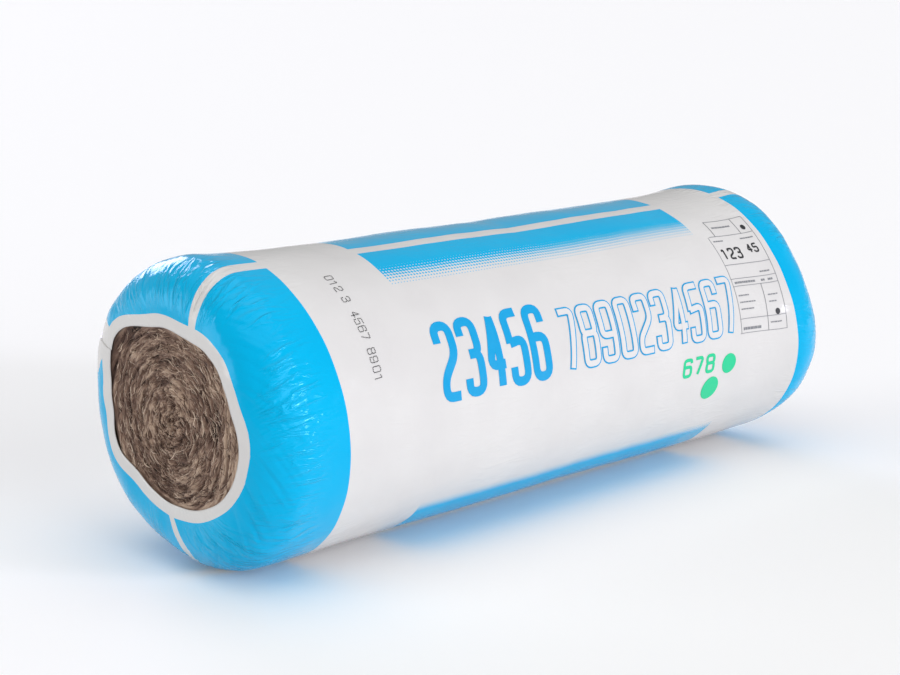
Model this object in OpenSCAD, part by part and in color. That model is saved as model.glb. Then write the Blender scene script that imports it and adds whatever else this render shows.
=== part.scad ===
// Roll of glass wool insulation in a printed plastic wrap, lying on its side.
// Two mats are wound side by side, and one film holds them both.
// The frame: X runs along the roll and Z is up. The origin is under the middle
// of the roll, on the surface that it lies on.

/* [Roll] */
// Outside diameter of the wrapped roll
roll_diameter = 420; // [340:5:600]
// Radius of the rounded shoulder at each end
shoulder_radius = 70; // [40:1:110]

/* [Mats] */
// Width of one mat, which is the length of one wool roll
mat_width = 580; // [300:10:700]
// Length of one mat when it is unrolled
mat_length = 8200; // [4000:100:14000]
// Radius of the soft edge where the two wool rolls meet
meeting_edge_radius = 12; // [4:1:30]
// Width of the groove between two turns of the mat
groove_width = 3; // [1:0.5:5]
// Depth of that groove at the ends of the roll
groove_depth = 6; // [2:1:15]

/* [Film] */
// Thickness of the wrap, with all its layers together
film_thickness = 1; // [0.6:0.1:3]
// Diameter of the opening that the wrap leaves at each end
opening_diameter = 250; // [120:5:270]

/* [Hidden] */
$fn = 96;

roll_radius = roll_diameter / 2;
half_length = mat_width + film_thickness;
// How far a cutting shape runs past the face that it cuts.
overrun = 1;

// The wool fills the film, so its shoulder has the same centre line as the film's.
wool_radius = roll_radius - film_thickness;
wool_shoulder = shoulder_radius - film_thickness;

// A wound mat fills its roll's section, so the mat's length sets the pitch of its turns.
turn_pitch = PI * wool_radius * wool_radius / mat_length;

// The turns show as a spiral groove on the flat middle of each end.
flat_radius = roll_radius - shoulder_radius;
first_turn = 0.5;
last_turn = (flat_radius - groove_width) / turn_pitch;
points_per_turn = 28;
spiral_steps = ceil((last_turn - first_turn) * points_per_turn);

// A point on the spiral, at a number of turns from the roll's centre, moved outwards.
function spiral_point(turn, outwards) =
    (turn * turn_pitch + outwards) * [cos(360 * turn), sin(360 * turn)];

// One edge of the groove, from the inside of the spiral to its outside.
function spiral_edge(outwards) = [
    for (i = [0 : spiral_steps])
        spiral_point(first_turn + (last_turn - first_turn) * i / spiral_steps, outwards)
];

function backwards(list) = [for (i = [len(list) - 1 : -1 : 0]) list[i]];

// Half of a roll's section: radius along X and length along Y, with its far corner rounded.
module half_section(radius, length, corner) {
    intersection() {
        square([radius, length]);
        union() {
            square([radius - corner, length]);
            square([radius, length - corner]);
            translate([radius - corner, length - corner])
                circle(r = corner);
        }
    }
}

// What a soft edge takes off the near corner of that section.
module near_corner(radius, edge) {
    translate([radius - edge, -overrun])
        difference() {
            square([edge + overrun, edge + overrun]);
            translate([0, edge + overrun])
                circle(r = edge);
        }
}

// The groove between the turns, as a ribbon that stands on the plane z = 0.
module spiral_ribbon(height) {
    linear_extrude(height = height)
        polygon(concat(
            spiral_edge(-groove_width / 2),
            backwards(spiral_edge(groove_width / 2))
        ));
}

// Lays what was turned about Z on its side, with its end towards the front (-X) or the back.
module lying(towards_front) {
    translate([0, 0, roll_radius])
        rotate([0, towards_front ? -90 : 90, 0])
            children();
}

// One wound mat, from the middle of the roll to one end.
module wool_roll(towards_front) {
    color("#7a6453")
        lying(towards_front)
            difference() {
                rotate_extrude()
                    difference() {
                        half_section(wool_radius, mat_width, wool_shoulder);
                        near_corner(wool_radius, meeting_edge_radius);
                    }
                // The spiral runs the same way through both rolls, so the ends mirror each other.
                translate([0, 0, mat_width - groove_depth])
                    mirror([towards_front ? 1 : 0, 0, 0])
                        spiral_ribbon(groove_depth + overrun);
            }
}

// The film, pulled over both shoulders, with a round opening left at each end.
module wrap_film() {
    color("#e6e4e4")
        for (towards_front = [true, false])
            lying(towards_front)
                difference() {
                    rotate_extrude()
                        difference() {
                            half_section(roll_radius, half_length, shoulder_radius);
                            half_section(wool_radius, mat_width, wool_shoulder);
                        }
                    cylinder(h = half_length + overrun, d = opening_diameter);
                }
}

wool_roll(true);  // wool_roll_front
wool_roll(false);  // wool_roll_back
wrap_film();
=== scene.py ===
"""A roll of glass wool insulation in its printed plastic wrap, lying on its side."""
import bpy
import numpy as np
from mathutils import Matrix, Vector


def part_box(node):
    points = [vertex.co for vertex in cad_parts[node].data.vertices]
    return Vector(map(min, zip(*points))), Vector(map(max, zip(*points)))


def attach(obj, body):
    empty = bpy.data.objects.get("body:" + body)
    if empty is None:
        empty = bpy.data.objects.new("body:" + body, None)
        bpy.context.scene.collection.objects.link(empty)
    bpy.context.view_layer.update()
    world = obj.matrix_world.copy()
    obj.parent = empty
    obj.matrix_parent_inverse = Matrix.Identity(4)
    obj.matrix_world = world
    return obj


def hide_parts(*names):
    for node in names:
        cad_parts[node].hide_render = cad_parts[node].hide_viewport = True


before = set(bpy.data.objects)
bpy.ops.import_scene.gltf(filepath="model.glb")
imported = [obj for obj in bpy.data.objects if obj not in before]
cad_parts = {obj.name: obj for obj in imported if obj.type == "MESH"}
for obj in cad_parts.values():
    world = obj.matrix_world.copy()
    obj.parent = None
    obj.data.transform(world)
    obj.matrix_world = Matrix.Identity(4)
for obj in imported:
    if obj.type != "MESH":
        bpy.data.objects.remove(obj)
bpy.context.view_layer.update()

# ---------------------------------------------------------------------------
# Camera
# A long lens a little above the roll, looking at its front end and its side.
# ---------------------------------------------------------------------------
view_azimuth = np.radians(-43.93)
view_elevation = np.radians(12.02)
view_distance = 2.627
view_target = Vector((-0.0719, 0.0, 0.2503))

camera = bpy.data.objects.new("camera", bpy.data.cameras.new("camera"))
camera.data.sensor_width = 36.0
camera.data.lens = 70.15
view_back = Vector((
    np.sin(view_azimuth) * np.cos(view_elevation),
    -np.cos(view_azimuth) * np.cos(view_elevation),
    np.sin(view_elevation),
))
camera.location = view_target + view_back * view_distance
camera.rotation_mode = "QUATERNION"
camera.rotation_quaternion = (-view_back).to_track_quat("-Z", "Y")
bpy.context.scene.collection.objects.link(camera)
bpy.context.scene.camera = camera


# ---------------------------------------------------------------------------
# The wrap: one sheet of printed polyethylene film, about 0.1 mm thick. It is
# wound round both wool rolls, its tail overlaps its start, and its margins are
# pulled over the two shoulders and shrunk, which leaves an opening at each end.
# ---------------------------------------------------------------------------
low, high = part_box("wrap_film")
half_length = high.x
radius = high.z / 2
shoulder = 0.070
straight = half_length - shoulder
shoulder_arc = shoulder * np.pi / 2
film_thickness = 0.0006
# How far the roll's own weight presses its underside in
settle = 0.0015

# The film's tail lies at this angle round the roll. All angles are in degrees,
# measured from the back (+Y) over the top, so the side towards -Y is at 180.
tail_angle = 24.0
tail_lift = 0.0012

# The opening's radius round the roll, at equal steps from 0 degrees on, in metres
front_opening = np.array([
    131, 136, 145, 152, 141, 130, 129, 128, 135, 140, 140, 141,
    148, 145, 138, 126, 117, 110, 107, 106, 108, 114, 129, 132,
]) / 1000
back_opening = np.array([124, 130, 138, 141, 133, 127, 131, 136, 133, 125, 118, 119]) / 1000
# How much fuller than a plain quarter-round each shoulder is, where the wool presses out
front_fullness = np.array([3.4, 10.3, 11.6, 7.9, 1, 0, 0, -1, 0.7, -5.9, -4.4, 2.4]) / 1000
back_fullness = np.array([8, 9, 12, 12.7, 14.5, 10.2, 22, 21, -0.2, -1, 3, 6]) / 1000


def smooth_ring(values, degrees):
    """A closed smooth curve through values that stand at equal steps round a circle.

    It is the sum of the harmonics of the list, so it passes through every value.
    """
    count = len(values)
    harmonics = np.fft.rfft(values) / count
    angle = np.radians(np.asarray(degrees, float))
    total = np.full(angle.shape, harmonics[0].real)
    for k in range(1, len(harmonics)):
        share = 1.0 if 2 * k == count else 2.0
        total = total + share * (harmonics[k] * np.exp(1j * k * angle)).real
    return total


def waves(degrees, along, count, around, length, seed):
    """A smooth random field on the roll, with a mean of 0 and a spread of 1.

    It is a sum of cosine waves. Each has a whole number of cycles round the roll, up to
    'around', a wavelength along it of at least 'length', and a random phase.
    """
    rng = np.random.default_rng(seed)
    angle = np.radians(degrees)
    total = np.zeros(np.broadcast(degrees, along).shape)
    for _ in range(count):
        cycles = rng.integers(0, around + 1)
        turns = rng.uniform(-1, 1) * 2 * np.pi / length
        total = total + np.cos(cycles * angle + turns * along + rng.uniform(0, 2 * np.pi))
    return total * np.sqrt(2 / count)


def bump(value, centre, width):
    """A bell curve of height 1 that stands at 'centre'."""
    return np.exp(-(((value - centre) / width) ** 2))


def angle_from(degrees, centre):
    """The shortest turn from 'centre' to each angle, in degrees."""
    return (np.asarray(degrees) - centre + 180) % 360 - 180


def twist(degrees, along):
    """How far the film is turned round the roll as it is pulled over a shoulder, in degrees.

    It grows towards the opening, and at the front the underside has slipped a little more.
    """
    rise = np.clip((np.abs(along) - 0.46) / 0.15, 0, 1.2)
    slip = 6 * bump(along, -0.552, 0.04) * bump(angle_from(degrees, 258), 0, 40)
    return 1.3 * np.clip((np.abs(along) - 0.38) / 0.08, 0, 1) + 7.5 * rise**3 + slip


def edge_along(degrees, opening):
    """The distance along the film's meridian from the middle of the roll to the opening."""
    edge = smooth_ring(opening, degrees)
    turned = np.arccos(np.clip(1 - (radius - edge) / shoulder, 0, 1))
    inner = np.clip(radius - shoulder - edge, 0, None)
    return straight + shoulder * turned + inner


def film_relief(degrees, along):
    """How far the film stands out from the plain turned shape, in metres.

    The two wool rolls are a little barrel-shaped with a waist where they meet, the film
    wrinkles along that waist, and it gathers into fine pleats over the shoulders.
    """
    over = np.clip((np.abs(along) - straight) / shoulder_arc, 0, 1.4)
    joint = along - 0.015 - 0.0004 * (degrees - 110)
    wavy_joint = joint + 0.004 * waves(degrees, 0, 8, 9, 1, 3)
    waist = -0.0018 * bump(joint, 0, 0.13) - 0.0006 * bump(wavy_joint, 0, 0.014)
    lumps = 0.0005 * waves(degrees, along, 30, 5, 0.25, 5)
    ripples = (0.0002 + 0.0001 * np.clip(over * 3, 0, 1)) * waves(degrees, along, 60, 24, 0.06, 7)
    pleat_share = 0.25 + 0.75 * bump(angle_from(degrees, 215), 0, 45)
    pleat_room = np.sin(np.pi * np.clip(over, 0, 1)) ** 1.5 * pleat_share
    pleats = -0.0013 * pleat_room * np.abs(waves(degrees + 40 * over, along, 30, 100, 0.12, 11))
    front, back = smooth_ring(front_fullness, degrees), smooth_ring(back_fullness, degrees)
    fullness = np.where(along < 0, front, back)
    past = np.abs(along) - straight - 0.045
    fullness = fullness * bump(past, 0, np.where(past < 0, 0.085, 0.055))
    return waist + lumps + ripples + pleats + fullness


def film_point(degrees, along, lift=0.0):
    """A point on the film from its own two measures: an angle round it and a way along it.

    The plain shape is turned: a straight side, a quarter-round shoulder and a flat ring.
    The relief and the lift move the point along that shape's normal, and the film rises
    towards its tail, where it lies on its own start. What would sink into the floor is
    pressed flat on it.
    """
    shape = np.broadcast(degrees, along).shape
    degrees = np.broadcast_to(degrees, shape)
    along = np.broadcast_to(along, shape)
    reach = np.abs(along)
    turned = np.clip((reach - straight) / shoulder, 0, np.pi / 2)
    x = np.minimum(reach, straight) + shoulder * np.sin(turned)
    r = radius - shoulder * (1 - np.cos(turned)) - np.clip(reach - straight - shoulder_arc, 0, None)
    theta = degrees + twist(degrees, along)
    out = film_relief(theta, along) + lift
    out = out + tail_lift * np.exp((degrees - 360 - tail_angle) / 50)
    x = (x + np.sin(turned) * out) * np.sign(along)
    r = r + np.cos(turned) * out
    y = r * np.cos(np.radians(theta))
    z = radius - settle + r * np.sin(np.radians(theta))
    z = (z + np.sqrt(z**2 + 1e-6)) / 2
    return np.stack([x, y, z], axis=-1)


def mesh_object(name, points, faces, smooth=True):
    """A mesh piece from an array of points and a list of face arrays."""
    mesh = bpy.data.meshes.new(name)
    mesh.from_pydata(points.reshape(-1, 3), [], [f.tolist() for group in faces for f in group])
    mesh.polygons.foreach_set("use_smooth", np.full(len(mesh.polygons), smooth))
    piece = bpy.data.objects.new(name, mesh)
    bpy.context.scene.collection.objects.link(piece)
    return piece


def grid_faces(rows, columns, first=0, closed=False, flip=False):
    """The quads of a grid of points that is stored row by row.

    'closed' joins its last column to its first, and 'flip' turns its faces over.
    """
    row = np.arange(rows - 1)[:, None]
    column = np.arange(columns if closed else columns - 1)[None, :]
    after = (column + 1) % columns
    quads = np.stack([
        row * columns + column, row * columns + after,
        (row + 1) * columns + after, (row + 1) * columns + column,
    ], axis=-1).reshape(-1, 4) + first
    return quads[:, ::-1] if flip else quads


# The film as a grid. Its rows stand close together beyond 'end_zone', over the shoulders.
film_columns = 560
end_zone = 0.44
front_rows, body_rows, back_rows = 60, 58, 46
film_angles = tail_angle + 360 * np.arange(film_columns + 1) / film_columns


def film_rows(degrees):
    """The way along the film of every grid row, from one opening's edge to the other's."""
    at_opening = degrees + twist(degrees, 0.62)
    front_edge = -edge_along(at_opening, front_opening)
    back_edge = edge_along(at_opening, back_opening)
    front_share = np.linspace(0, 1, front_rows, endpoint=False)[:, None]
    back_share = np.linspace(0, 1, back_rows + 1)[1:, None]
    front = front_edge + (-end_zone - front_edge) * front_share
    back = end_zone + (back_edge - end_zone) * back_share
    body = np.linspace(-end_zone, end_zone, body_rows)[:, None]
    return np.concatenate([front, np.broadcast_to(body, (body_rows, degrees.size)), back])


along_rows = film_rows(film_angles)
film_outer = film_point(film_angles, along_rows)
rows = along_rows.shape[0]
columns = film_columns + 1

# The inner face of the film is hidden, apart from a narrow strip at each opening, so it has
# a quarter of the columns and few rows. Away from the openings it lies deeper, clear of the outside.
inner_step = 4
inner_sink, inner_slope = 0.0028, 0.02
inner_angles = film_angles[::inner_step]
inner_pick = np.r_[0, 2, 6, np.arange(12, rows - 8, 8), rows - 7, rows - 3, rows - 1]
inner_along = along_rows[inner_pick][:, ::inner_step]
inner_near = np.minimum(inner_along - inner_along[0], inner_along[-1] - inner_along)
inner_depth = film_thickness + inner_sink * np.clip(inner_near / inner_slope, 0, 1)
film_inner = film_point(inner_angles, inner_along, -inner_depth)
inner_rows, inner_columns = inner_along.shape
inner_first = rows * columns


def rim_faces(outer_start, inner_start, flip):
    """Closes the gap between an outer edge and an inner edge that has fewer points."""
    column = np.arange(film_columns)
    nearest = column // inner_step + (column % inner_step >= inner_step // 2)
    fans = np.stack([outer_start + column, outer_start + column + 1, inner_start + nearest], axis=-1)
    inner = np.arange(inner_columns - 1)
    middle = outer_start + inner * inner_step + inner_step // 2
    caps = np.stack([middle, inner_start + inner + 1, inner_start + inner], axis=-1)
    group = np.concatenate([fans, caps])
    return group[:, ::-1] if flip else group


def tail_faces():
    """The step at the film's cut tail: it joins the last column of each face to its first."""
    first = np.arange(rows - 1) * columns
    outer = np.stack([first, first + columns, first + 2 * columns - 1, first + columns - 1], axis=-1)
    first = inner_first + np.arange(inner_rows - 1) * inner_columns
    inner = np.stack([
        first, first + inner_columns - 1, first + 2 * inner_columns - 1, first + inner_columns,
    ], axis=-1)
    return outer, inner


outer_tail, inner_tail = tail_faces()
last_row = (rows - 1) * columns
inner_last = inner_first + (inner_rows - 1) * inner_columns
end_caps = np.array([
    [0, columns - 1, inner_first + inner_columns - 1, inner_first],
    [last_row + columns - 1, last_row, inner_last, inner_last + inner_columns - 1],
])
film = mesh_object(
    "wrap_film_printed",
    np.concatenate([film_outer.reshape(-1, 3), film_inner.reshape(-1, 3)]),
    [
        grid_faces(rows, columns),
        grid_faces(inner_rows, inner_columns, inner_first, flip=True),
        rim_faces(0, inner_first, True),
        rim_faces(last_row, inner_last, False),
        outer_tail, inner_tail, end_caps,
    ],
)

# The film's own measures become its UV map: the angle round it, and the way along it with
# the slight skew of its winding. A second attribute holds the distance from the opening.
print_skew = 0.0155
angle_span, along_span = 400.0, 1.4


def give_film_uv(piece, degrees, along, step_start, step_corners):
    """Stores each point's angle and way along the film, between 0 and 1, as the UV map 'film'.

    The step at the tail takes the tail's own angle, because its first column lies a turn before.
    """
    mesh = piece.data
    loops = np.zeros(len(mesh.loops), int)
    mesh.loops.foreach_get("vertex_index", loops)
    skewed = along + print_skew * np.sin(np.radians(degrees))
    uv = np.stack([degrees / angle_span, skewed / along_span + 0.5], axis=-1)[loops]
    uv[step_start:step_start + step_corners, 0] = (360 + tail_angle) / angle_span
    mesh.uv_layers.new(name="film").data.foreach_set("uv", uv.ravel())


def give_attribute(piece, name, values):
    """Stores one number per point of the mesh under that name."""
    attribute = piece.data.attributes.new(name, "FLOAT", "POINT")
    attribute.data.foreach_set("value", np.ravel(values).astype(np.float32))


# The faces are stored in order, and each corner is a loop: quads, then the rims' triangles, then the step.
quad_count = (rows - 1) * (columns - 1) + (inner_rows - 1) * (inner_columns - 1)
rim_count = 2 * (film_columns + inner_columns - 1)
all_degrees = np.concatenate([
    np.broadcast_to(film_angles, along_rows.shape).ravel(),
    np.broadcast_to(inner_angles, inner_along.shape).ravel(),
])
all_along = np.concatenate([along_rows.ravel(), inner_along.ravel()])
give_film_uv(film, all_degrees, all_along, 4 * quad_count + 3 * rim_count, 4 * (rows + inner_rows))
edge_near = np.minimum(along_rows - along_rows[0], along_rows[-1] - along_rows)
give_attribute(film, "from_opening", np.concatenate([edge_near.ravel(), np.zeros(inner_along.size)]))


def linear(hex_colour):
    """An sRGB hex colour as the linear red, green, blue and alpha that a shader takes."""
    srgb = np.array([int(hex_colour[i:i + 2], 16) for i in (1, 3, 5)]) / 255
    rgb = np.where(srgb <= 0.04045, srgb / 12.92, ((srgb + 0.055) / 1.055) ** 2.4)
    return (*rgb.tolist(), 1.0)


def add_node(tree, kind, values=(), **settings):
    """Adds a node, sets its settings, and fills its inputs by order or by name with links or values.

    It returns the node's first output, if it has one. A Mix node's colours are its inputs 6
    and 7, and its output 2.
    """
    node = tree.nodes.new(kind)
    for name, value in settings.items():
        setattr(node, name, value)
    pairs = values.items() if isinstance(values, dict) else enumerate(values)
    for key, value in pairs:
        if isinstance(value, bpy.types.NodeSocket):
            tree.links.new(value, node.inputs[key])
        elif value is not None:
            node.inputs[key].default_value = value
    return next(iter(node.outputs), None)


def new_material(name):
    """An empty node material, and its tree."""
    material = bpy.data.materials.new(name)
    material.use_nodes = True
    material.node_tree.nodes.clear()
    return material, material.node_tree


# The print's layout, as angles within one printed panel and distances along the film
panel_start, panel_pitch = 103.5, 154.0
strip_half = 2.6
top_band_end, top_fade_end = 12.0, 24.0
low_fade_start, low_band_start = 117.0, 124.5
band_from, band_to = -0.290, 0.357
front_blue_end, back_blue_start = -0.450, 0.501
ring_width = 0.018
tail_margin = 10.0
# The real screen has about 2 mm dots; it is drawn at 5.5 mm so that it shows.
dot_pitch = 0.0055


def film_material():
    """Low-density polyethylene film, blown, printed and shrunk on: smooth, glossy and slightly rippled.

    The blue is ink under the gloss, so it keeps the film's highlights. Fine creases run
    over the shoulders in the direction in which the film was pulled.
    """
    material, tree = new_material("polyethylene_film_printed_blue_on_white")
    uv = add_node(tree, "ShaderNodeUVMap", uv_map="film")
    across = add_node(tree, "ShaderNodeSeparateXYZ", (uv,))
    turn = add_node(tree, "ShaderNodeMath", (across, angle_span), operation="MULTIPLY")
    along = add_node(tree, "ShaderNodeMath", (across.node.outputs[1], 0.5), operation="SUBTRACT")
    along = add_node(tree, "ShaderNodeMath", (along, along_span), operation="MULTIPLY")
    near = add_node(
        tree, "ShaderNodeAttribute", attribute_name="from_opening", attribute_type="GEOMETRY"
    ).node.outputs["Fac"]

    # Where the panel's parts lie
    panel = add_node(tree, "ShaderNodeMath", (turn, panel_start), operation="SUBTRACT")
    panel = add_node(tree, "ShaderNodeMath", (panel, panel_pitch), operation="FLOORED_MODULO")
    half_panel = panel_pitch / 2
    half_inside = half_panel - strip_half
    inside = add_node(tree, "ShaderNodeMath", (panel, half_panel, half_inside), operation="COMPARE")

    # The blue ends, with a white ring left round the opening
    front = add_node(tree, "ShaderNodeMath", (along, front_blue_end), operation="LESS_THAN")
    back = add_node(tree, "ShaderNodeMath", (along, back_blue_start), operation="GREATER_THAN")
    ends = add_node(tree, "ShaderNodeMath", (front, back), operation="ADD")
    off_ring = add_node(tree, "ShaderNodeMath", (near, ring_width), operation="GREATER_THAN")
    ends = add_node(tree, "ShaderNodeMath", (ends, off_ring), operation="MULTIPLY")

    # The bands along the side, which fade into a screen of dots. A dot's radius, in cells, runs
    # from the smallest that is printed to one at which the dots have closed up.
    smallest_dot, closed_dot = 0.12, 0.74
    arc = add_node(tree, "ShaderNodeMath", (turn, np.radians(radius)), operation="MULTIPLY")
    place = add_node(tree, "ShaderNodeCombineXYZ", (along, arc))
    place = add_node(tree, "ShaderNodeMapping", {"Vector": place, "Scale": (1 / dot_pitch, 1 / dot_pitch, 1)})
    cell = add_node(tree, "ShaderNodeVectorMath", (place,), operation="FRACTION")
    cell = add_node(tree, "ShaderNodeVectorMath", (cell, (0.5, 0.5, 0)), operation="SUBTRACT")
    off_dot = add_node(tree, "ShaderNodeVectorMath", (cell,), operation="LENGTH").node.outputs["Value"]
    top = (panel, top_fade_end, top_band_end, smallest_dot, closed_dot)
    top = add_node(tree, "ShaderNodeMapRange", top)
    low = (panel, low_fade_start, low_band_start, smallest_dot, closed_dot)
    low = add_node(tree, "ShaderNodeMapRange", low)
    reach = add_node(tree, "ShaderNodeMath", (top, low), operation="MAXIMUM")
    dots = add_node(tree, "ShaderNodeMath", (off_dot, reach), operation="LESS_THAN")
    fading = add_node(tree, "ShaderNodeMath", (reach, smallest_dot + 0.005), operation="GREATER_THAN")
    dots = add_node(tree, "ShaderNodeMath", (dots, fading), operation="MULTIPLY")
    band_middle, band_half = (band_from + band_to) / 2, (band_to - band_from) / 2
    in_band = add_node(tree, "ShaderNodeMath", (along, band_middle, band_half), operation="COMPARE")
    bands = add_node(tree, "ShaderNodeMath", (dots, in_band), operation="MULTIPLY")

    ink = add_node(tree, "ShaderNodeMath", (ends, bands), operation="MAXIMUM")
    ink = add_node(tree, "ShaderNodeMath", (ink, inside), operation="MULTIPLY")
    off_tail = add_node(tree, "ShaderNodeMath", (turn, tail_angle + tail_margin), operation="GREATER_THAN")
    ink = add_node(tree, "ShaderNodeMath", (ink, off_tail), operation="MULTIPLY")
    # On the front shoulder the sheet is slanted at its tail, where the ink stops short
    tail_turn = 360 + tail_angle
    slant = add_node(tree, "ShaderNodeMapRange", (along, -0.605, -0.585, tail_turn, tail_turn - 16))
    off_corner = add_node(tree, "ShaderNodeMath", (turn, slant), operation="LESS_THAN")
    off_front = add_node(tree, "ShaderNodeMath", (along, -0.4), operation="GREATER_THAN")
    off_corner = add_node(tree, "ShaderNodeMath", (off_corner, off_front), operation="MAXIMUM")
    ink = add_node(tree, "ShaderNodeMath", (ink, off_corner), operation="MULTIPLY")

    # Colour: the white film takes a little grey from the wool behind it, unevenly
    coords = add_node(tree, "ShaderNodeTexCoord").node.outputs["Object"]
    cloud = add_node(tree, "ShaderNodeTexNoise", {"Vector": coords, "Scale": 9.0, "Detail": 3.0})
    white = add_node(tree, "ShaderNodeMix", {
        0: cloud, 6: linear("#c8c6c5"), 7: linear("#d6d5d3"),
    }, data_type="RGBA").node.outputs[2]
    blue = add_node(tree, "ShaderNodeMix", {
        0: cloud, 6: linear("#00a2d4"), 7: linear("#00b0de"),
    }, data_type="RGBA").node.outputs[2]
    colour = add_node(tree, "ShaderNodeMix", {
        0: ink, 6: white, 7: blue,
    }, data_type="RGBA").node.outputs[2]
    tint = add_node(tree, "ShaderNodeMix", {
        0: ink, 6: linear("#ffffff"), 7: linear("#84d0ff"),
    }, data_type="RGBA").node.outputs[2]

    # Creases of 5 to 15 mm, sharp where the film is pulled over the ends and faint on the side
    pulled = add_node(tree, "ShaderNodeCombineXYZ", (arc, along))
    pulled = add_node(tree, "ShaderNodeMapping", {"Vector": pulled, "Scale": (75.0, 20.0, 1.0)})
    crease = add_node(tree, "ShaderNodeTexNoise", {
        "Vector": pulled, "Scale": 1.0, "Detail": 2.5, "Roughness": 0.45, "Lacunarity": 2.3,
        "Offset": 0.9, "Gain": 2.0, "Distortion": 0.8,
    }, noise_type="RIDGED_MULTIFRACTAL")
    soft = add_node(tree, "ShaderNodeTexNoise", {
        "Vector": coords, "Scale": 26.0, "Detail": 2.0, "Distortion": 0.5,
    })
    patches = add_node(tree, "ShaderNodeTexNoise", {"Vector": coords, "Scale": 9.0, "Detail": 1.0})
    patches = add_node(tree, "ShaderNodeMapRange", (patches, 0.46, 0.62, 0.05, 1.0))
    on_ends = add_node(tree, "ShaderNodeMath", (along,), operation="ABSOLUTE")
    on_ends = add_node(tree, "ShaderNodeMapRange", (on_ends, 0.47, 0.54, 0.12, 1.0))
    by_opening = add_node(tree, "ShaderNodeMapRange", (near, 0.015, 0.045, 0.15, 1.0))
    strength = add_node(tree, "ShaderNodeMath", (patches, on_ends), operation="MULTIPLY")
    strength = add_node(tree, "ShaderNodeMath", (strength, by_opening), operation="MULTIPLY")
    crease = add_node(tree, "ShaderNodeMath", (crease, strength), operation="MULTIPLY")
    relief = add_node(tree, "ShaderNodeBump", {"Height": soft, "Strength": 0.25, "Distance": 0.003})
    relief = add_node(tree, "ShaderNodeBump", {
        "Height": crease, "Strength": 0.9, "Distance": 0.0022, "Normal": relief,
    })

    surface = add_node(tree, "ShaderNodeBsdfPrincipled", {
        "Base Color": colour, "Roughness": 0.15, "Specular IOR Level": 0.4, "Specular Tint": tint,
        "Normal": relief,
    })
    add_node(tree, "ShaderNodeOutputMaterial", {"Surface": surface})
    return material


film.data.materials.append(film_material())
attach(film, "root")
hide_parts("wrap_film")


# ---------------------------------------------------------------------------
# The printed marks: flexographic ink on the film, here plain numbers, discs and
# a ruled table. Each is a film of ink that follows the wrap, and every printed
# panel carries the same ones.
# ---------------------------------------------------------------------------
ink_lift = 0.00045
ink_stagger = 0.00006
ink_thickness = 0.0003
marks_start = panel_start + 3.3
arc_per_degree = np.radians(radius)

# The digits as strokes between the corners of a box, from (0, 0) at the bottom left to
# (1, 1) at the top right. Corners are rounded when the stroke is drawn.
digit_strokes = {
    "0": [[(0, 0.5), (0, 0), (1, 0), (1, 1), (0, 1), (0, 0.5)]],
    "1": [[(0.1, 0.8), (0.55, 1), (0.55, 0)]],
    "2": [[(0, 0.76), (0, 1), (1, 1), (1, 0.58), (0, 0.25), (0, 0), (1, 0)]],
    "3": [
        [(0, 0.8), (0, 1), (1, 1), (1, 0.53), (0.3, 0.53)],
        [(0.3, 0.53), (1, 0.53), (1, 0), (0, 0), (0, 0.2)],
    ],
    "4": [[(0.72, 0), (0.72, 1)], [(0.72, 1), (0, 0.3), (1.1, 0.3)]],
    "5": [[(1, 1), (0, 1), (0, 0.56)], [(0, 0.56), (1, 0.6), (1, 0), (0, 0), (0, 0.22)]],
    "6": [[(1, 0.78), (1, 1), (0, 1), (0, 0), (1, 0), (1, 0.58), (0, 0.58)]],
    "7": [[(0, 1), (1, 1), (0.38, 0)]],
    "8": [
        [(0.5, 0.54), (0, 0.54), (0, 1), (1, 1), (1, 0.54), (0.5, 0.54)],
        [(0.5, 0.54), (0, 0.54), (0, 0), (1, 0), (1, 0.54), (0.5, 0.54)],
    ],
    "9": [[(0, 0.22), (0, 0), (1, 0), (1, 1), (0, 1), (0, 0.44), (1, 0.44)]],
}


def rounded_stroke(corners, size, rounding, step):
    """A stroke's centre line in metres: its corners are cut to short curves, and it is divided evenly."""
    corners = np.array(corners, float) * size
    line = [corners[0]]
    for before, corner, after in zip(corners[:-2], corners[1:-1], corners[2:]):
        to_before, to_after = before - corner, after - corner
        cut_before = min(rounding, np.linalg.norm(to_before) / 2)
        cut_after = min(rounding, np.linalg.norm(to_after) / 2)
        start = corner + to_before / np.linalg.norm(to_before) * cut_before
        end = corner + to_after / np.linalg.norm(to_after) * cut_after
        t = np.linspace(0, 1, 7)[:, None]
        line.extend((1 - t) ** 2 * start + 2 * t * (1 - t) * corner + t**2 * end)
    line = np.array(line + [corners[-1]])
    run = np.r_[0, np.cumsum(np.linalg.norm(np.diff(line, axis=0), axis=1))]
    keep = np.r_[True, np.diff(run) > 1e-7]
    run, line = run[keep], line[keep]
    even = np.linspace(0, run[-1], max(2, int(np.ceil(run[-1] / step)) + 1))
    return np.stack([np.interp(even, run, line[:, 0]), np.interp(even, run, line[:, 1])], axis=-1)


def ribbon(line, width, extend=0.0):
    """The left and right edges of a stroke of even width, lengthened a little at both ends."""
    line = line.copy()
    tangent = np.gradient(line, axis=0)
    tangent /= np.linalg.norm(tangent, axis=1, keepdims=True)
    line[0] -= tangent[0] * extend
    line[-1] += tangent[-1] * extend
    side = np.stack([-tangent[:, 1], tangent[:, 0]], axis=1) * width / 2
    return np.stack([line - side, line + side], axis=1)


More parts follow.
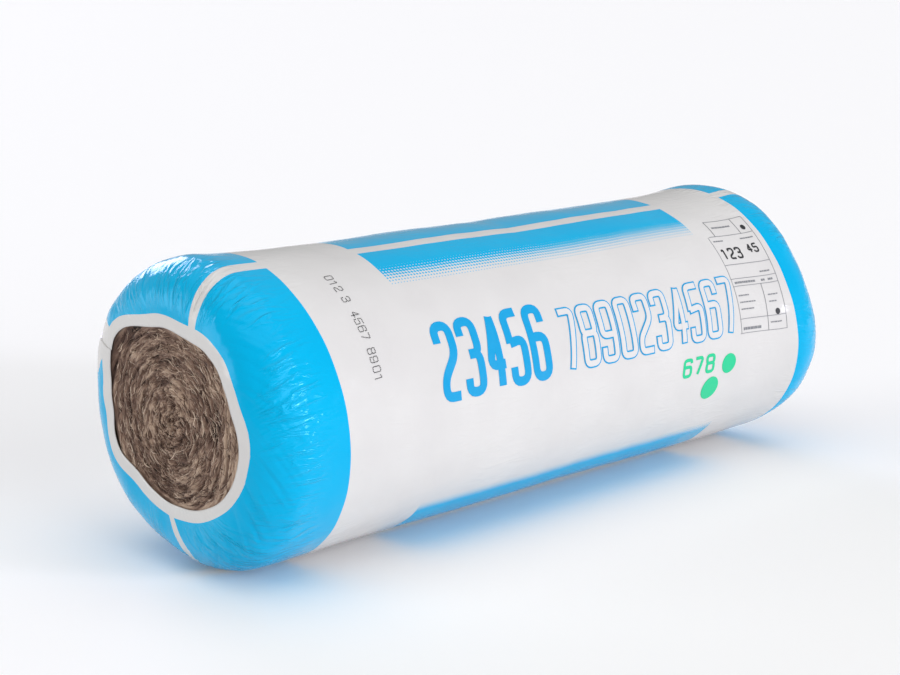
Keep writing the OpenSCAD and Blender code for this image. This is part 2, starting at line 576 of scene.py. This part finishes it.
def number_ribbons(text, left, base, digit_width, digit_height, stroke, spacing, grow=0.0):
    """The strokes of a number, in metres to the right of and above a point."""
    ribbons = []
    for place, digit in enumerate(text):
        for corners in digit_strokes.get(digit, []):
            size = np.array([digit_width - stroke, digit_height - stroke])
            line = rounded_stroke(corners, size, stroke * 0.9 + 0.001, max(stroke * 0.3, 0.0012))
            line = line + [left + place * (digit_width + spacing) + stroke / 2, base + stroke / 2]
            ribbons.append(ribbon(line, stroke + 2 * grow, grow))
    return ribbons


def bar(left, base, width, height):
    """A plain bar as a stroke."""
    count = max(2, int(width / 0.006) + 1)
    line = np.stack([np.linspace(left, left + width, count), np.full(count, base + height / 2)], axis=-1)
    return ribbon(line, height)


def disc(x, y, disc_radius, corners=28):
    """A disc as a stack of strips between its left and right edges, with a short flat at both poles."""
    turn = np.linspace(-np.pi / 2, np.pi / 2, corners // 2 + 1)
    half = np.maximum(np.cos(turn), 0.08) * disc_radius
    height = y + np.sin(turn) * disc_radius
    return np.stack([np.stack([x + half, height], axis=-1), np.stack([x - half, height], axis=-1)], axis=1)


def ink_piece(name, ribbons, material, lift, turned=False, panels=(0,)):
    """Joins the ribbons into one piece of ink and lays it on the film in each panel.

    Each ribbon is given in metres along the film and metres up from the marks' start line.
    Neighbours lie at slightly different heights, so that no two faces share a plane.
    """
    points, faces, first = [], [], 0
    for panel in panels:
        for order, edges in enumerate(ribbons):
            across, height = edges[..., 0], edges[..., 1]
            if turned:
                along, degrees = height, across / arc_per_degree
            else:
                along, degrees = across, -height / arc_per_degree
            start = marks_start + panel * panel_pitch
            laid = film_point(start + degrees, along, lift + ink_stagger * (order % 3))
            quads = grid_faces(edges.shape[0], 2, first, flip=not turned)
            points.append(laid.reshape(-1, 3))
            faces.append(quads)
            first += laid.shape[0] * 2
    piece = mesh_object(name, np.concatenate(points), faces, smooth=False)
    piece.data.materials.append(material)
    body = piece.modifiers.new("ink", "SOLIDIFY")
    body.thickness = ink_thickness
    body.offset = -1.0
    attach(piece, "root")
    return piece


def ink_material(name, hex_colour, roughness=0.22):
    """Printing ink under the film's gloss: an even colour that is slightly mottled by the press."""
    material, tree = new_material(name)
    coords = add_node(tree, "ShaderNodeTexCoord").node.outputs["Object"]
    mottle = add_node(tree, "ShaderNodeTexNoise", {"Vector": coords, "Scale": 60.0, "Detail": 3.0})
    full = linear(hex_colour)
    pale = tuple(c + (1 - c) * 0.02 for c in full[:3]) + (1.0,)
    colour = add_node(tree, "ShaderNodeMix", {
        0: mottle, 6: full, 7: pale,
    }, data_type="RGBA").node.outputs[2]
    surface = add_node(tree, "ShaderNodeBsdfPrincipled", {
        "Base Color": colour, "Roughness": roughness, "Specular IOR Level": 0.2,
    })
    add_node(tree, "ShaderNodeOutputMaterial", {"Surface": surface})
    return material


blue_ink = ink_material("printing_ink_blue", "#0096cc")
white_ink = ink_material("bare_film_inside_the_outlines", "#d0cfce")
green_ink = ink_material("printing_ink_green", "#1fc48c")
black_ink = ink_material("printing_ink_black", "#26272a", 0.4)
grey_ink = ink_material("printing_ink_grey", "#808286", 0.4)

# Heights below are measured down from the marks' start line, so they are negative.
row_base = -68.3 * arc_per_degree
solid = number_ribbons("23456", -0.284, row_base - 0.004, 0.0395, 0.112, 0.0135, 0.0045)
ink_piece("print_solid_numbers", solid, blue_ink, ink_lift, panels=(0, 1))
outlined = ("7890234567", -0.040, row_base, 0.0345, 0.092, 0.0088, 0.0063)
ink_piece("print_outlined_numbers", number_ribbons(*outlined, grow=0.0024), blue_ink, ink_lift, panels=(0, 1))
ink_piece("print_outlined_insides", number_ribbons(*outlined), white_ink, ink_lift + 0.00045, panels=(0, 1))

# The green mark
green = number_ribbons("678", 0.226, -83.4 * arc_per_degree, 0.0225, 0.032, 0.0055, 0.0050)
green += [disc(0.340, -81.0 * arc_per_degree, 0.0165), disc(0.303, -91.0 * arc_per_degree, 0.0200)]
ink_piece("print_green_mark", green, green_ink, ink_lift, panels=(-1, 0, 1))

# The ruled table near the far end. A line along the roll is given by how many degrees it lies
# below the start line and by its start, and all end at the table's right side. A line round the
# roll is given by its place along it, its top and its bottom.
table_right = 0.478
table_lines = [
    (14.7, 0.388), (23.7, 0.372), (38.6, 0.370), (45.2, 0.368), (48.6, 0.368), (63.0, 0.368), (69.2, 0.366),
]
table_columns = [
    (table_right, 14.7, 69.2), (0.388, 14.7, 23.7), (0.369, 23.7, 69.2),
    (0.450, 14.7, 23.7), (0.436, 48.6, 69.2),
]
rule_width = 0.0009
ruled = [bar(start, -down * arc_per_degree, table_right - start, rule_width) for down, start in table_lines]
for place, top, bottom in table_columns:
    heights = np.linspace(-top, -bottom, 12) * arc_per_degree
    ruled.append(ribbon(np.stack([np.full(12, place), heights], axis=-1), rule_width))
ink_piece("print_table_rules", ruled, grey_ink, ink_lift, panels=(0, 1))

# Rows of short bars stand where the small print is: degrees down, start, end and height
small_rows = [
    (19.0, 0.395, 0.440, 0.0030), (26.5, 0.375, 0.400, 0.0022), (26.5, 0.440, 0.470, 0.0022),
    (47.4, 0.375, 0.425, 0.0034), (47.4, 0.440, 0.448, 0.0034), (47.4, 0.456, 0.470, 0.0034),
    (53.0, 0.375, 0.400, 0.0020), (56.0, 0.375, 0.415, 0.0020), (59.0, 0.375, 0.408, 0.0020),
    (54.0, 0.445, 0.470, 0.0020), (57.0, 0.445, 0.462, 0.0020), (66.0, 0.442, 0.470, 0.0020),
    (67.8, 0.374, 0.418, 0.0044), (43.4, 0.444, 0.470, 0.0024),
]
rng = np.random.default_rng(41)
small = []
for down, start, end, height in small_rows:
    place = start
    while place < end - 0.002:
        width = min(rng.uniform(0.002, 0.007), end - place)
        small.append(bar(place, -down * arc_per_degree, width, height))
        place += width + 0.0012
ink_piece("print_table_small_bars", small, grey_ink, ink_lift, panels=(0, 1))
figures = number_ribbons("123", 0.376, -36.0 * arc_per_degree, 0.0135, 0.0215, 0.0032, 0.0035)
figures += number_ribbons("45", 0.440, -34.0 * arc_per_degree, 0.0115, 0.0175, 0.0028, 0.0030)
figures += [disc(0.464, -20.5 * arc_per_degree, 0.0050), disc(0.461, -63.5 * arc_per_degree + 0.0080, 0.0050)]
ink_piece("print_table_figures", figures, black_ink, ink_lift, panels=(0, 1))


def dotted(ribbons, pitch=0.0021, dot=0.0007):
    """Turns strokes into rows of ink-jet dots, one at each step along the stroke's middle."""
    dots = []
    for edges in ribbons:
        middle = edges.mean(axis=1)
        run = np.r_[0, np.cumsum(np.linalg.norm(np.diff(middle, axis=0), axis=1))]
        even = np.linspace(0, run[-1], int(run[-1] / pitch) + 1)
        for x, y in zip(np.interp(even, run, middle[:, 0]), np.interp(even, run, middle[:, 1])):
            dots.append(disc(x, y, dot, 8))
    return dots


# The ink-jet code runs down the side, with the tops of its digits towards the far end
code = []
for text, down in (("012", 10.6), ("3", 22.0), ("4567", 28.6), ("89", 43.6), ("01", 50.3)):
    code += number_ribbons(text, down * arc_per_degree, -0.398, 0.0085, 0.0135, 0.0010, 0.0030)
ink_piece("print_inkjet_code", dotted(code), black_ink, ink_lift, turned=True, panels=(0, 1))


# ---------------------------------------------------------------------------
# The two wool rolls: glass wool mat with a brown binder, rolled up under great
# pressure and cut square. Only the cut ends show, as a spiral of soft layers.
# ---------------------------------------------------------------------------
turn_pitch = 0.0168
end_radius = 0.166
wool_clearance = 0.0045
# How far behind the film's outermost plane the wool lies: in the open, against the film's edge, and under it
end_recess, pressed_recess, hidden_recess = 0.0035, 0.0024, 0.0085


def cell_noise(around, outwards, cells, seed):
    """Smooth lattice noise between -1 and 1 that closes on itself after one turn.

    'around' is a share of a turn, which is cut into that many cells, and 'outwards' counts
    cells. A random value stands at each lattice point, and a smooth step joins them.
    """
    table = np.random.default_rng(seed).uniform(-1, 1, (cells, 256))
    a = np.mod(around, 1.0) * cells
    i, j = np.floor(a).astype(int), np.floor(outwards).astype(int)
    s, t = a - i, outwards - j
    s, t = s * s * (3 - 2 * s), t * t * (3 - 2 * t)
    i, j = i % cells, np.clip(j, 0, 254)
    near = table[i, j] * (1 - s) + table[(i + 1) % cells, j] * s
    far = table[i, j + 1] * (1 - s) + table[(i + 1) % cells, j + 1] * s
    return near * (1 - t) + far * t


def wool_height(degrees, r, seed):
    """How far the cut end stands out at a place, in metres.

    A faint spiral groove parts the layers, each layer is torn into tufts that follow it
    round, and the whole face has soft hollows and one deeper pit.
    """
    share = degrees / 360
    sway = 0.25 * cell_noise(share, r / 0.030, 7, seed) + 0.16 * cell_noise(share, r / 0.012, 19, seed + 1)
    layer = r / turn_pitch - share + sway
    phase = layer - np.floor(layer)
    gap = np.minimum(phase, 1 - phase) * turn_pitch
    depth = np.clip(0.25 + 0.9 * cell_noise(share, r / 0.014, 13, seed + 2), 0, 1)
    groove = -0.0048 * depth * np.exp(-((gap / 0.0016) ** 2))
    rounding = 0.0008 * np.sin(np.pi * phase) ** 0.7
    hollows = 0.0030 * cell_noise(share, r / 0.045, 6, seed + 3)
    tufts = 0.0030 * cell_noise(share, r / 0.0060, 30, seed + 4)
    threads = 0.0013 * cell_noise(share, r / 0.0027, 64, seed + 5)
    fine = 0.0007 * cell_noise(share, r / 0.0016, 150, seed + 6)
    pit = 0.006 * bump(angle_from(degrees, 174), 0, 10) * bump(r, 0.092, 0.012)
    return groove + rounding + hollows + tufts + threads + fine - pit


def wool_end_x(degrees, r, seed):
    """The distance of the cut end from the middle of the roll.

    At the opening the wool presses flat against the film, and further behind it, where it
    is hidden, it is drawn back. At the front a slack corner has come away from the film.
    """
    side, opening = (-1, front_opening) if seed < 50 else (1, back_opening)
    edge = smooth_ring(opening, degrees)
    relief = film_relief(degrees, side * (straight + shoulder_arc))
    follow = np.clip((r - edge + 0.05) / 0.05, 0, 1) ** 2 * relief
    pressed = np.clip((r - edge + 0.006) / 0.008, 0, 1)
    covered = np.clip((r - edge - 0.010) / 0.008, 0, 1)
    round_off = np.clip((r - radius + shoulder) / shoulder, 0, 1)
    drop = shoulder * (1 - np.sqrt(1 - round_off**2))
    cut_face = half_length - end_recess + wool_height(degrees, r, seed)
    face = cut_face * (1 - pressed) + (half_length - pressed_recess) * pressed
    slack = 0.014 * bump(angle_from(degrees, 341), 0, 12) * bump(r, 0.150, 0.012) if side < 0 else 0.0
    return face * (1 - covered) + (half_length - hidden_recess) * covered - drop + follow - slack


def wool_roll(name, side, seed, columns=360, end_rows=150):
    """One wool roll as a closed turned shape: a detailed end, a shoulder, a side and a plain inner end."""
    degrees = np.arange(columns) * 360 / columns
    r_end = np.linspace(0, end_radius, end_rows + 1)[1:, None]
    x_end = wool_end_x(degrees, r_end, seed)
    end = np.stack([
        side * x_end,
        np.broadcast_to(r_end * np.cos(np.radians(degrees)), x_end.shape),
        np.broadcast_to(radius - settle + r_end * np.sin(np.radians(degrees)), x_end.shape),
    ], axis=-1)
    first_side = straight + shoulder * 0.78
    along = side * np.r_[np.linspace(first_side, straight, 6), np.linspace(straight, 0.02, 14)[1:]][:, None]
    body = film_point(degrees, along, -wool_clearance)
    plain_x, plain_r = side * 0.0015, (radius - 0.022) * np.array([[1], [0.5]])
    joint = np.stack([
        np.full((2, columns), plain_x),
        plain_r * np.cos(np.radians(degrees)),
        radius - settle + plain_r * np.sin(np.radians(degrees)),
    ], axis=-1)
    rings = np.concatenate([end, body, joint])
    count = rings.shape[0] * columns
    tip_x = side * wool_end_x(0.0, np.zeros(1), seed)[0]
    tip = np.array([[tip_x, 0, radius - settle], [plain_x, 0, radius - settle]])
    column = np.arange(columns)
    after = (column + 1) % columns
    start_fan = np.stack([np.full(columns, count), after, column], axis=-1)
    last = count - columns
    end_fan = np.stack([np.full(columns, count + 1), last + column, last + after], axis=-1)
    quads = grid_faces(rings.shape[0], columns, closed=True)
    groups = [quads, start_fan, end_fan]
    if side > 0:
        groups = [g[:, ::-1] for g in groups]
    piece = mesh_object(name, np.concatenate([rings.reshape(-1, 3), tip]), groups)
    # How far the cut end stands out, kept for the wool's painted shade in its grooves and hollows
    height = 0.0012 + wool_height(*np.broadcast_arrays(degrees, r_end), seed).ravel()
    height = np.concatenate([height, np.zeros(count - x_end.size + 2)])
    give_attribute(piece, "painted_shade_height", np.clip(height / 0.009 + 0.5, 0, 1))
    return piece


def wool_material():
    """Glass wool with a brown sugar-based binder: matt and fibrous, with painted shade that darkens it where
    the cut end lies deep.

    The fibres lie round the roll, so the colour runs in streaks that follow the turns.
    """
    material, tree = new_material("glass_wool_brown_binder")
    coords = add_node(tree, "ShaderNodeTexCoord").node.outputs["Object"]
    centred = add_node(tree, "ShaderNodeMapping", {"Vector": coords, "Location": (0, 0, settle - radius)})
    flat = add_node(tree, "ShaderNodeVectorMath", (centred, (0, 1, 1)), operation="MULTIPLY")
    away = add_node(tree, "ShaderNodeVectorMath", (flat,), operation="LENGTH").node.outputs["Value"]
    round_it = add_node(tree, "ShaderNodeVectorMath", (flat,), operation="NORMALIZE")
    round_it = add_node(tree, "ShaderNodeVectorMath", (round_it, (4.0, 4.0, 4.0)), operation="MULTIPLY")
    outward = add_node(tree, "ShaderNodeMath", (away, 420.0), operation="MULTIPLY")
    outward = add_node(tree, "ShaderNodeCombineXYZ", (outward, 0.0, 0.0))
    streaks_at = add_node(tree, "ShaderNodeVectorMath", (round_it, outward), operation="ADD")
    streaks = add_node(tree, "ShaderNodeTexNoise", {
        "Vector": streaks_at, "Scale": 1.0, "Detail": 5.0, "Roughness": 0.7,
    })
    clumps = add_node(tree, "ShaderNodeTexNoise", {"Vector": coords, "Scale": 70.0, "Detail": 3.0})
    painted_shade_height = add_node(
        tree, "ShaderNodeAttribute", attribute_name="painted_shade_height", attribute_type="GEOMETRY"
    ).node.outputs["Fac"]
    mixed = add_node(tree, "ShaderNodeMath", (streaks, 0.55), operation="MULTIPLY")
    mixed = add_node(tree, "ShaderNodeMath", (clumps, 0.25, mixed), operation="MULTIPLY_ADD")
    # Painted shade: the colour is darker where the cut end lies deeper, in its grooves, hollows and pit, and
    # lighter where it stands out
    mixed = add_node(tree, "ShaderNodeMath", (painted_shade_height, 0.40, mixed), operation="MULTIPLY_ADD")
    ramp = add_node(tree, "ShaderNodeValToRGB", (mixed,))
    ramp_node = ramp.node.color_ramp
    for place, colour in ((0.36, "#22170f"), (0.49, "#57423a"), (0.62, "#7d6456"), (0.80, "#b39b87")):
        ramp_node.elements.new(place).color = linear(colour)
    ramp_node.elements.remove(ramp_node.elements[0])
    ramp_node.elements.remove(ramp_node.elements[-1])
    relief = add_node(tree, "ShaderNodeBump", {"Height": streaks, "Strength": 0.7, "Distance": 0.0015})
    surface = add_node(tree, "ShaderNodeBsdfPrincipled", {
        "Base Color": ramp, "Roughness": 0.95, "Specular IOR Level": 0.2, "Sheen Weight": 0.15,
        "Sheen Roughness": 0.5, "Normal": relief,
    })
    add_node(tree, "ShaderNodeOutputMaterial", {"Surface": surface})
    return material


wool = wool_material()


def strand_bundle(name, side, seed, count):
    """Loose tufts of fibre on a cut end, each a bent strand that tapers to both tips.

    A strand starts somewhere on the face, runs more or less along the turns with a bend of
    its own, and arches a little above the surface. Real fibres are 4 microns thick, so each
    strand stands for a bundle of them.
    """
    rng = np.random.default_rng(seed)
    opening = front_opening if side < 0 else back_opening
    start_angle = rng.uniform(0, 360, count)
    start_r = (smooth_ring(opening, start_angle) - 0.004) * np.sqrt(rng.uniform(0.002, 1, count))
    length = rng.uniform(0.007, 0.026, count) * (1 + (rng.uniform(0, 1, count) > 0.9))
    follows = rng.uniform(0, 1, count) > 0.16
    heading = np.where(follows, rng.normal(0, 0.30, count), rng.uniform(-np.pi, np.pi, count))
    bend = rng.normal(0, 28, count) - 1 / np.maximum(start_r, 0.02)
    share = np.linspace(0, 1, 6)
    step = length[:, None] * (share - 0.5)
    turn = heading[:, None] + bend[:, None] * step / 2
    base = np.radians(start_angle)[:, None]
    around, outwards = step * np.cos(turn), step * np.sin(turn) + start_r[:, None]
    y = outwards * np.cos(base) - around * np.sin(base)
    z = outwards * np.sin(base) + around * np.cos(base)
    r, angle = np.hypot(y, z), np.degrees(np.arctan2(z, y)) % 360
    r = np.minimum(r, smooth_ring(opening, angle) - 0.0025)
    arch = rng.uniform(0.0002, 0.0018, count)[:, None] * 4 * share * (1 - share) - 0.0006
    x = wool_end_x(angle, r, 20 if side < 0 else 70) + arch
    turned = np.radians(angle)
    centre = np.stack([side * x, r * np.cos(turned), radius - settle + r * np.sin(turned)], axis=-1)
    along = np.gradient(centre, axis=1)
    along /= np.linalg.norm(along, axis=-1, keepdims=True)
    out = np.broadcast_to([float(side), 0.0, 0.0], along.shape)
    beside = np.cross(along, out)
    beside /= np.linalg.norm(beside, axis=-1, keepdims=True)
    out = np.cross(beside, along)
    thick = (0.00024 + 0.0007 * rng.uniform(0, 1, count) ** 3)[:, None]
    thick = thick * np.sin(np.pi * np.clip(share, 0.12, 0.88))
    corner = np.radians([90, 210, 330])
    ring = (
        beside[:, 1:5, None] * np.cos(corner)[:, None] + out[:, 1:5, None] * np.sin(corner)[:, None]
    ) * thick[:, 1:5, None, None] + centre[:, 1:5, None]
    points = np.concatenate([ring.reshape(count, 12, 3), centre[:, [0, 5]]], axis=1)
    sides = [
        [3 * k + 3 + c, 3 * k + 3 + (c + 1) % 3, 3 * k + (c + 1) % 3, 3 * k + c]
        for k in range(3) for c in range(3)
    ]
    tips = [[c, (c + 1) % 3, 12] for c in range(3)] + [[9 + (c + 1) % 3, 9 + c, 13] for c in range(3)]
    first = 14 * np.arange(count)[:, None, None]
    faces = [(first + np.array(sides)).reshape(-1, 4), (first + np.array(tips)).reshape(-1, 3)]
    piece = mesh_object(name, points, faces)
    regions = 0.20 * cell_noise(start_angle / 360, start_r / 0.03, 6, seed + 9)
    shade = np.clip(rng.normal(0.48, 0.28, count) + regions, 0, 1)
    give_attribute(piece, "shade", np.repeat(shade, points.shape[1]))
    return piece


def strand_material():
    """Bundles of glass fibre: from dark binder-soaked ones to pale ones that catch the light."""
    material, tree = new_material("glass_wool_strands")
    shade = add_node(
        tree, "ShaderNodeAttribute", attribute_name="shade", attribute_type="GEOMETRY"
    ).node.outputs["Fac"]
    ramp = add_node(tree, "ShaderNodeValToRGB", (shade,))
    colours = ramp.node.color_ramp.elements
    colours[0].color, colours[1].color = linear("#38271f"), linear("#e2cdb9")
    colours.new(0.45).color = linear("#7a6154")
    colours.new(0.72).color = linear("#a68d7c")
    surface = add_node(tree, "ShaderNodeBsdfPrincipled", {
        "Base Color": ramp, "Roughness": 0.7, "Specular IOR Level": 0.3,
    })
    add_node(tree, "ShaderNodeOutputMaterial", {"Surface": surface})
    return material


strand = strand_material()
wool_ends = {"front": (-1, 20, 4600), "back": (1, 70, 3600)}
for end_name, (side, seed, strand_count) in wool_ends.items():
    roll = wool_roll(f"wool_roll_{end_name}_layers", side, seed)
    roll.data.materials.append(wool)
    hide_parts(f"wool_roll_{end_name}")
    tufts = strand_bundle(f"wool_roll_{end_name}_strands", side, seed + 100, strand_count)
    tufts.data.materials.append(strand)
    for piece in (roll, tufts):
        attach(piece, "root")


# ---------------------------------------------------------------------------
# The floor and the light of a plain studio. The floor lies a hair under the roll
# and reaches so far that its edge doesn't show.
# ---------------------------------------------------------------------------
floor_size = 120.0
floor_corners = np.array([[-1, -1, 0], [1, -1, 0], [1, 1, 0], [-1, 1, 0]]) * floor_size
floor = mesh_object("floor", floor_corners + np.array([0, 0, -0.0002]), [np.array([[0, 1, 2, 3]])])
floor_material, floor_tree = new_material("studio_floor_matt_white")
floor_surface = add_node(floor_tree, "ShaderNodeBsdfPrincipled", {
    "Base Color": linear("#fcfcfc"), "Roughness": 0.9,
})
add_node(floor_tree, "ShaderNodeOutputMaterial", {"Surface": floor_surface})
floor.data.materials.append(floor_material)

world = bpy.data.worlds.new("studio")
world.use_nodes = True
world.node_tree.nodes["Background"].inputs["Color"].default_value = linear("#fffffd")
world.node_tree.nodes["Background"].inputs["Strength"].default_value = 0.36
bpy.context.scene.world = world
bpy.context.scene.view_settings.view_transform = "Standard"


def softbox(name, azimuth, elevation, spread, power, colour="#ffffff"):
    """A large far light with a soft edge, which looks 'spread' degrees wide and lights the floor evenly.

    Its azimuth is measured from -Y towards +X, and its elevation upwards, both in degrees.
    """
    light = bpy.data.lights.new(name, "SUN")
    light.angle = np.radians(spread)
    light.energy = power
    light.color = linear(colour)[:3]
    lamp = bpy.data.objects.new(name, light)
    a, e = np.radians(azimuth), np.radians(elevation)
    away = Vector((np.sin(a) * np.cos(e), -np.cos(a) * np.cos(e), np.sin(e)))
    lamp.rotation_mode = "QUATERNION"
    lamp.rotation_quaternion = (-away).to_track_quat("-Z", "Y")
    bpy.context.scene.collection.objects.link(lamp)


softbox("front_softbox", 2, 15, 40, 1.30)
softbox("left_softbox", -125, 10, 40, 1.20)
softbox("top_softbox", -45, 85, 70, 1.05)
softbox("rim_softbox", 162, 18, 22, 0.70, "#e2e0ff")
softbox("right_softbox", 27, 12, 11, 1.15, "#efeeff")
